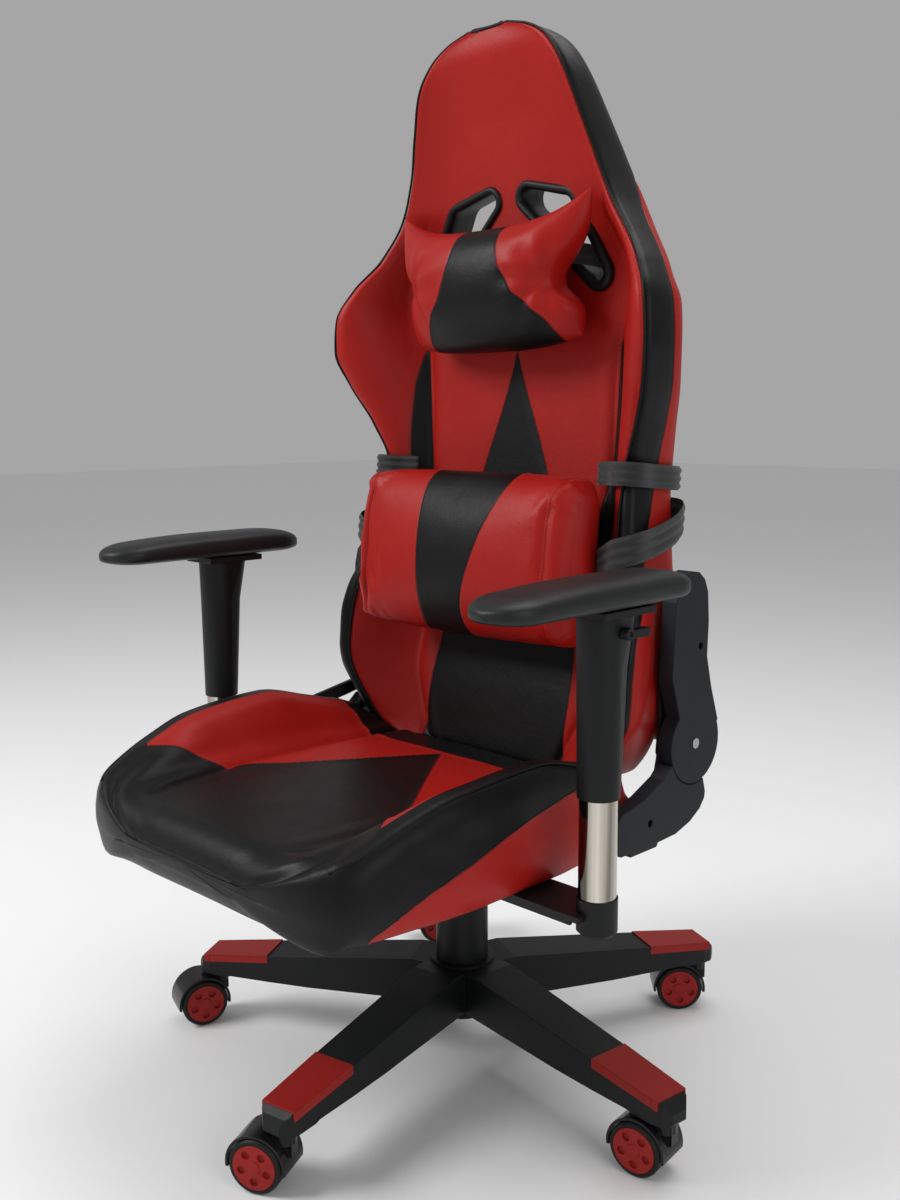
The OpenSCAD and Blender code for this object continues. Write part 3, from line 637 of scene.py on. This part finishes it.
def make_bezels(looks):
    """A moulded ring in each head opening: a rolled flange in front and a sleeve behind it."""
    turns = np.arange(0, 360, 6) / 180 * math.pi
    inner = opening_outline((9, 11, 7), turns)
    outer = opening_outline((19, 23, 21), turns)
    rear = opening_outline((17, 19, 15), turns)
    profile = [(1.0, 3), (1.0, -1), (0.93, -4.5), (0.75, -6.3), (0.5, -6.6), (0.25, -5.8),
               (0.08, -3.5), (0, 0)]
    lines = [from_back(from_head(inner + (outer - inner) * m, d)) for m, d in profile]
    lines += [from_back(from_head(inner + (rear - inner) * m, 45 * m)) for m in (0.3, 0.7, 1)]
    rings = np.stack(lines)
    for side, label in ((1, "left"), (-1, "right")):
        g = rings.copy()
        g[..., 0] *= side
        if side > 0:
            g = g[:, ::-1]
        name = "opening_bezel_" + label
        mesh = mesh_from_grid(name, g, capped=False)
        piece = link(name, mesh, looks["nylon"], "back", ["opening_bezels"])
        solid = piece.modifiers.new("wall", "SOLIDIFY")
        solid.thickness, solid.offset = 0.0015, 1


# ---------- seat ----------

# Functions of Y: the half width, the height of the bolsters and the height above which their sides
# are black
SEAT_FRONT, SEAT_REAR = -400, 24
NOSE_Z = 350         # the height at which the seat's nose is furthest forward
HINGE_ROOM = 94      # the radius that stays free round the recline pivot
seat_w = curve((-400, 110), (-398, 138), (-394, 165), (-388, 190), (-380, 208), (-370, 221),
               (-355, 230), (-300, 241), (-200, 253), (-100, 254), (-20, 244), (30, 236))
seat_crest = curve((-400, 384), (-370, 396), (-300, 425), (-240, 442), (-130, 450), (-60, 434),
                   (30, 408))
seat_black_low = curve((-400, 240), (-365, 304), (-343, 330), (-307, 352), (-252, 372), (-200, 389),
                       (-171, 397), (-100, 412), (-60, 418), (30, 424))


def seat_grid():
    """Half outlines of the seat at each Y, their panel distances and the bolster crest's column."""
    y = np.concatenate((SEAT_FRONT + 40 * np.linspace(0, 1, 16) ** 2, np.arange(-355, 8, 4.5),
                        np.linspace(10, SEAT_REAR, 5)))
    f = np.maximum(0.2, np.sqrt(np.clip(1 - (1 - (y - SEAT_FRONT) / 34) ** 2, 0, 1)))
    f = np.where(y > -366, 1, f)
    w = seat_w(y)
    k = np.minimum(1, w / 220)
    top = NOSE_Z + 38 * f
    crest = NOSE_Z + (seat_crest(y) - NOSE_Z) * f
    nose = NOSE_Z - 38 * f
    under = smooth((y + 372) / 10)
    floor = nose + (337 - nose) * under
    lip = nose - 1 + (320 - nose) * under
    low = np.minimum(NOSE_Z - 6 * f, 330 + 20 * (1 - f))
    room = np.sqrt(np.clip(HINGE_ROOM ** 2 - (PIVOT_Y - y) ** 2, 0, None))
    roof = np.where(PIVOT_Y - y > HINGE_ROOM, 1000, PIVOT_Z - room)
    fade = smooth((y + 378) / 60) * f
    rows = [(0 * w, top + 4 * f), ((w - 98 * k) * 0.35, top + 3.6 * f),
            ((w - 98 * k) * 0.7, top + 2.4 * f), (w - 107 * k, top + 0.6 * fade),
            (w - 100 * k, top - 3 * fade), (w - 93 * k, top + 3 * fade),
            (w - 78 * k, top + (crest - top) * 0.26), (w - 62 * k, top + (crest - top) * 0.6),
            (w - 45 * k, crest - 7 * f), (w - 30 * k, crest - 1 * f), (w - 18 * k, crest),
            (w - 8 * k, crest - 8 * f), (w - 1.5, (low + crest) / 2 + 8 * f), (w, low + 18 * f),
            (w - 5, low + 4), (w - 18, lip), (w - 46, lip), (w - 54, floor),
            (w * 0.4, floor), (0 * w, floor)]
    control = stacked(rows)
    control[..., 1] = np.minimum(control[..., 1], roof[:, None])
    counts = [11, 11, 11, 3, 3, 4, 5, 5, 4, 3, 3, 4, 5, 3, 3, 3, 2, 4, 3]
    half = through(control, counts)
    points = np.stack((half[..., 0], np.broadcast_to(y[:, None], half.shape[:2]), half[..., 1]),
                      axis=-1)

    x, yy, zz = half[..., 0], y[:, None], half[..., 1]
    arc = arc_length(half)
    crest_column, outer_column, under_column = (sum(counts[:n]) for n in (10, 12, 15))
    front = (0.74 * (-36 - yy) - x) * 0.8
    rear = yy + 27 - x * x * 0.0004
    flat = np.maximum(front, rear)
    past = arc - arc[:, crest_column:crest_column + 1] + 12
    low_edge = (zz - seat_black_low(y)[:, None]) * 0.85
    corner = (-346 - yy) * 0.9
    outside = np.maximum(np.minimum(past, low_edge), corner)
    column = np.arange(half.shape[1])[None, :]
    panel = np.where(past < 0, np.maximum(np.maximum(flat, past), corner), outside)
    panel = np.where(column > outer_column, np.maximum(low_edge, corner), panel)
    panel = np.where(column > under_column, HIDDEN_BLACK, panel)
    return points, panel, crest_column


def seat_wrinkles(points, panel):
    """Folds at the front corners and along the bolsters, a soft unevenness and the seam grooves."""
    x, y, z = points[..., 0], points[..., 1], points[..., 2]
    ax = np.abs(x)
    corner = np.exp(-(((ax - 196) / 34) ** 2 + ((y + 372) / 30) ** 2 + ((z - 385) / 30) ** 2))
    folds = np.sin(ax / 4.6 + y / 9 + 0.7 * np.sin(z / 7)) * corner * 0.7
    side = smooth((ax - 232) / 12) * np.exp(-((z - 405) / 26) ** 2)
    folds += np.sin(y / 11 + z / 6) * side * 0.9 * smooth((-y - 60) / 80)
    soft = np.sin(x / 57 + 0.8) * np.sin(y / 71) * 1.0
    groove = -1.5 * np.exp(-(panel / 3.2) ** 2)
    return folds + soft + groove


def make_seat(looks):
    """The seat's cover and the piping on the crest of each bolster."""
    half, panel, crest_column = seat_grid()
    grid, values = mirrored(half[:, ::-1]), mirrored_values(panel[:, ::-1])
    grid = grid + normals_of(grid) * seat_wrinkles(grid, values)[..., None]
    grid, values = round_off(grid, values, np.array([0, 1.0, 0]), 1.2, 4)
    mesh = mesh_from_grid("seat_upholstery", grid, [("panel", values)])
    piece = link("seat_upholstery", mesh, looks["red_leather"], "seat",
                 ["seat_cushion"])
    for side, label in ((1, "left"), (-1, "right")):
        path = half[12:, crest_column + 1].copy()
        path[:, 0] *= side
        path[:, 2] += 0.3
        tube("seat_piping_" + label, path, 1.5, looks["black_leather"], "seat")


# ---------- pillows ----------

def pillow_mesh(name, edge, thick, panel, place, steps=(72, 44)):
    """A pillow of two skins sewn round the edge. edge(u, v) gives the flat outline for u and v from
    -1 to 1, thick(u, v) the half thickness, panel(x, z) the seam distance, and place moves it."""
    nu, nv = steps
    u = np.sin(np.linspace(-math.pi / 2, math.pi / 2, nu))
    v = np.sin(np.linspace(-math.pi / 2, math.pi / 2, nv))
    uu, vv = np.meshgrid(u, v, indexing="ij")
    x, z = edge(uu, vv)
    t = thick(uu, vv, x, z)
    values = panel(x, z)
    points, faces, attribute, lookup = [], [], [], {}
    for skin, sign in (("front", -1), ("rear", 1)):
        for i in range(nu):
            for j in range(nv):
                border = i in (0, nu - 1) or j in (0, nv - 1)
                key = ("edge" if border else skin, i, j)
                if key not in lookup:
                    lookup[key] = len(points)
                    points.append((x[i, j], sign * t[i, j] if not border else 0.0, z[i, j]))
                    attribute.append(values[i, j] if skin == "front" or border else -30.0)
        for i in range(nu - 1):
            for j in range(nv - 1):
                quad = [lookup[("edge" if a in (0, nu - 1) or b in (0, nv - 1) else skin, a, b)]
                        for a, b in ((i, j), (i + 1, j), (i + 1, j + 1), (i, j + 1))]
                faces.append(quad if sign < 0 else quad[::-1])
    points = place(np.array(points))
    mesh = bpy.data.meshes.new(name)
    mesh.from_pydata((points * MM).tolist(), [], faces)
    layer = mesh.attributes.new("panel", "FLOAT", "POINT")
    layer.data.foreach_set("value", attribute)
    return mesh


def stuff(piece, pressure, stiff, bend, frames, cap):
    """Lets the cover of a pillow swell under pressure as cloth, so that it wrinkles at its seams."""
    before = np.array([v.co for v in piece.data.vertices])
    modifier = piece.modifiers.new("stuffing", "CLOTH")
    s = modifier.settings
    s.quality, s.mass = 6, 0.25
    s.tension_stiffness = s.compression_stiffness = stiff
    s.shear_stiffness, s.bending_stiffness = stiff * 0.6, bend
    s.tension_damping = s.compression_damping = 6
    s.bending_damping = 1
    s.use_pressure, s.uniform_pressure_force = True, pressure
    s.effector_weights.gravity = 0
    s.air_damping = 4
    modifier.collision_settings.use_collision = False
    modifier.point_cache.frame_start, modifier.point_cache.frame_end = 1, frames
    for f in range(1, frames + 1):
        scene.frame_set(f)
    evaluated = piece.evaluated_get(bpy.context.evaluated_depsgraph_get())
    after = np.array([v.co for v in evaluated.data.vertices])
    piece.modifiers.clear()
    scene.frame_set(1)
    move = after - before
    length = np.linalg.norm(move, axis=1, keepdims=True) + 1e-12
    after = before + move * np.minimum(1, cap * MM / length)
    piece.data.vertices.foreach_set("co", after.ravel())
    piece.data.update()


def head_edge(u, v):
    """Pointed upper corners, drawn-in sides and a lower edge that is a little shorter."""
    notch = np.where(u > 0, 0.24, 0.11) * np.exp(-((v - 0.05) / 0.36) ** 2)
    x = u * (142 + 9 * v) * (1 - notch * np.abs(u) ** 3)
    z = 76 * v + np.where(v > 0, 28, -18) * np.abs(u) ** 3.2 * v
    z = z - 3.0 * (1 - u ** 2) * v
    return x, z


def head_thick(u, v, x, z):
    """A dome that is drawn in to a gathered point near each end."""
    dome = np.clip((1 - u ** 2) * (1 - v ** 2), 0, None) ** 0.46
    t = 43 * dome
    for side in (1, -1):
        dx, dz = x - side * 104, z - 8
        reach = np.hypot(dx, dz)
        angle = np.arctan2(dz, dx * side)
        rays = np.cos(angle * 7 + 0.6 * side) * np.exp(-((reach - 34) / 26) ** 2)
        t = t - (10 * np.exp(-(reach / 15) ** 2) - 2.6 * rays) * dome ** 0.7
    return t


def head_panel(x, z):
    """A black panel down the middle that widens towards the lower edge."""
    left = curve((-90, 124), (-40, 104), (0, 69), (40, 49), (110, 41))
    right = curve((-90, 92), (-40, 72), (0, 40), (40, 24), (110, 16))
    return np.where(x > 0, left(z) - x, right(z) + x) * 0.85


def head_place(p):
    """The pillow leans with the head of the back, and its ends bend back round it."""
    y, z = tilted(p[:, 1], p[:, 2], 10, -104, 506)
    return from_back(np.stack((p[:, 0], y + 15 * np.abs(p[:, 0] / 145) ** 3, z), axis=1))


def make_head_pillow(looks):
    mesh = pillow_mesh("head_cushion", head_edge, head_thick, head_panel, head_place)
    piece = link("head_cushion", mesh, looks["red_leather"], "back",
                 ["head_pillow"])
    stuff(piece, 2.2, 18, 0.6, 14, 9)


LUMBAR_HALF_W, LUMBAR_HALF_H = 176, 96


def lumbar_rings():
    """Rings across the lumbar pillow: a deep body between two bulging end panels. Gives the rings,
    how far each point moves out for seams and folds, and where the end panels start."""
    s = np.concatenate((np.linspace(0, 0.16, 12), np.linspace(0.16, 0.84, 64)[1:-1],
                        np.linspace(0.84, 1, 12)))
    u = s * 2 - 1
    k = 0.86
    end = np.clip((np.abs(u) - k) / (1 - k), 0, 1)
    scale = np.sqrt(np.clip(1 - (0.93 * end) ** 2.3, 0, 1))
    x = u * LUMBAR_HALF_W
    turn = full_turn(56)
    y, z = -squared(np.cos(turn), 0.72), squared(np.sin(turn), 0.62)
    deep = np.where(y < 0, 47, 45)
    yy = (y * deep)[None, :] * (0.30 + 0.70 * scale)[:, None]
    zz = (z * LUMBAR_HALF_H)[None, :] * (0.72 + 0.28 * scale)[:, None]
    xx = np.broadcast_to(x[:, None], yy.shape).copy()
    pull = np.abs(u)[:, None] ** 6 * (np.abs(zz) / LUMBAR_HALF_H) ** 3
    xx -= np.sign(xx) * 5 * (1 - pull) * end[:, None]
    fold = np.zeros_like(yy)
    for side in (1, -1):
        dx, dz = xx - side * 150, zz + 28
        reach = np.hypot(dx, dz)
        angle = np.arctan2(dz, -dx * side)
        fold += np.cos(angle * 6 + 0.4) * np.exp(-((reach - 22) / 20) ** 2) * 2.2
        near = np.exp(-((xx - side * 140) / 26) ** 2 - ((zz - 60) / 40) ** 2)
        fold += np.sin(zz / 8 + xx * side / 15) * near * 0.8
    seam = np.exp(-((np.abs(u)[:, None] - k) / 0.018) ** 2)
    out = -2.6 * seam + fold * (yy < 0)
    return np.stack((xx, yy, zz), axis=-1), out, k


def make_lumbar_pillow(looks):
    """The lumbar pillow, with a black panel down its middle that widens towards the top."""
    grid, out, k = lumbar_rings()
    normal = normals_of(grid)
    outward = np.sign((normal * grid).sum(axis=2).mean())
    grid = grid + normal * outward * out[..., None]
    x, z = grid[..., 0], grid[..., 2]
    left = curve((-96, 26), (-79, 24), (6, 48), (96, 80), (110, 82))
    right = curve((-96, 46), (-79, 44), (6, 46), (96, 52), (110, 54))
    panel = np.where(x > 0, left(z) - x, right(z) + x) * 0.95
    gusset = k * LUMBAR_HALF_W - np.abs(x)
    panel = np.where(np.abs(x) > 100, -np.maximum(np.abs(gusset), 0.9), panel)
    y, z = tilted(grid[..., 1], z, -1, -103, 194)
    world = from_back(np.stack((x, y, z), axis=-1))
    if outward < 0:
        world, panel = world[:, ::-1], panel[:, ::-1]
    mesh = mesh_from_grid("lumbar_cushion", world, [("panel", panel)])
    piece = link("lumbar_cushion", mesh, looks["red_leather"], "back",
                 ["lumbar_pillow"])
    stuff(piece, 1.6, 22, 0.8, 12, 6)


# ---------- straps ----------

# Half of each strap's route in the back's own frame, from its pillow round to the middle behind
HEAD_STRAP = [(104, -76, 545), (112, -68, 545), (116, -54, 545), (119, -28, 545), (119.5, -14, 545),
              (112, -6, 545), (60, -3, 545), (0, -1, 545)]
UPPER_STRAP = [(150, -58, 297), (172, -67, 297), (188, -78, 297), (204, -80, 297), (212, -73, 297),
               (213, -40, 297), (213, 6, 297), (206, 18, 297), (160, 27, 297), (80, 35, 297),
               (0, 37, 297)]
LOWER_STRAP = [(150, -60, 190), (180, -78, 200), (208, -96, 208), (224, -89, 214), (228, -50, 224),
               (223, 4, 246), (213, 20, 254), (160, 26, 258), (80, 35, 258), (0, 38, 258)]


def make_strap(name, route, width, pleats, lift, looks, replaced):
    """Flat elastic webbing through a route and its mirror image, standing on edge, with pleats."""
    route = np.array(route, float)
    route = np.concatenate((route, (route * np.array([-1, 1, 1]))[-2::-1]))
    path = through(route[None], [7] * (len(route) - 1))[0]
    ahead = np.gradient(path, axis=0)
    ahead /= np.linalg.norm(ahead, axis=1, keepdims=True)
    out = np.stack((ahead[:, 1], -ahead[:, 0], np.zeros(len(path))), axis=1)
    out /= np.linalg.norm(out, axis=1, keepdims=True) + 1e-9
    out *= np.sign((out * (path - np.array([0, -25, 0]))).sum(axis=1).mean())
    along = np.concatenate(([0], np.cumsum(np.linalg.norm(np.diff(path, axis=0), axis=1))))
    across = np.linspace(-0.5, 0.5, 25)
    rings, u, v = [], [], []
    for side in (1, -1):
        order = across if side > 0 else across[::-1]
        wave = np.cos(order * 2 * math.pi * pleats) * 0.9
        ripple = 0.5 * np.sin(along / 23)[:, None] * np.cos(order * math.pi)[None, :]
        thick = lift + side * 0.7 * np.sqrt(np.clip(1 - (2 * order) ** 8, 0, 1))
        offset = (wave + thick)[None, :] + ripple
        rings.append(path[:, None] + out[:, None] * offset[..., None]
                     + np.array([0, 0, 1.0]) * (order * width)[None, :, None])
        u.append(np.broadcast_to(order * width, offset.shape))
        v.append(np.broadcast_to(along[:, None], offset.shape))
    grid = np.concatenate(rings, axis=1)
    measures = [("across", np.concatenate(u, axis=1)), ("along", np.concatenate(v, axis=1))]
    mesh = mesh_from_grid(name, from_back(grid), measures)
    link(name, mesh, looks["webbing"], "back", [replaced])


# ---------- arm pads ----------

PAD_LENGTH, PAD_HALF_W, PAD_REAR, PAD_TOP, PAD_FLOOR = 288, 38, -8, 649, 618.3
PAD_END = 40   # the length over which each end is rounded
ARM_X = 317


def make_arm_pad(side, label, looks):
    """A soft moulded pad: flat underneath, crowned on top, with a thick rounded nose."""
    s = (1 - np.cos(np.linspace(0, math.pi / 2, 16))) * PAD_END
    y = np.concatenate((-PAD_LENGTH + s, np.linspace(-PAD_LENGTH + 42, -42, 46), (-s)[::-1]))
    near = np.minimum(-y, y + PAD_LENGTH)
    e = np.sqrt(np.clip(1 - (1 - np.clip(near / PAD_END, 0, 1)) ** 2, 0, 1))
    w = PAD_HALF_W * np.maximum(0.12, e) * (1 - 0.10 * smooth((y + 120) / 120))
    nose_drop = 8 * np.clip((-y - PAD_LENGTH / 2) / (PAD_LENGTH / 2), 0, 1) ** 2
    top = PAD_TOP - nose_drop - 8 * np.clip((y + 70) / 70, 0, 1) ** 2
    high = top - 10 * (1 - e)
    low = PAD_FLOOR + 7 * (1 - e)
    turn = full_turn(40)
    n = np.sin(turn)
    x = squared(np.cos(turn), 0.62)
    z = squared(n, np.where(n > 0, 0.82, 0.55))
    grid = np.stack((w[:, None] * x[None], np.broadcast_to(y[:, None], (len(y), 40)) + PAD_REAR,
                     ((high + low) / 2)[:, None] + ((high - low) / 2)[:, None] * z[None]), axis=-1)
    grid[..., 0] += side * ARM_X
    name = "arm_cushion_" + label
    mesh = mesh_from_grid(name, grid[:, ::-1])
    piece = link(name, mesh, looks["pad_rubber"], "arm_" + label, ["arm_pad_" + label])


def dress_cad_nodes(looks):
    """Gives every CAD node the material that its slot in the record names."""
    slots = {row["node"]: row["material_slot"] for row in frame["record"]["subparts"]}
    for name, piece in nodes.items():
        for holder in piece.material_slots:
            holder.material = looks[slots[name]]


make_camera()
make_studio()
looks = make_materials()
dress_cad_nodes(looks)
make_back(looks)
make_bezels(looks)
make_seat(looks)
make_head_pillow(looks)
make_lumbar_pillow(looks)
make_strap("head_band", HEAD_STRAP, 24, 2, 0.8, looks, "head_strap")
make_strap("lumbar_band_upper", UPPER_STRAP, 27, 3, 1.4, looks, "lumbar_straps")
make_strap("lumbar_band_lower", LOWER_STRAP, 35, 3, 1.4, looks, "lumbar_straps")
make_arm_pad(1, "left", looks)
make_arm_pad(-1, "right", looks)
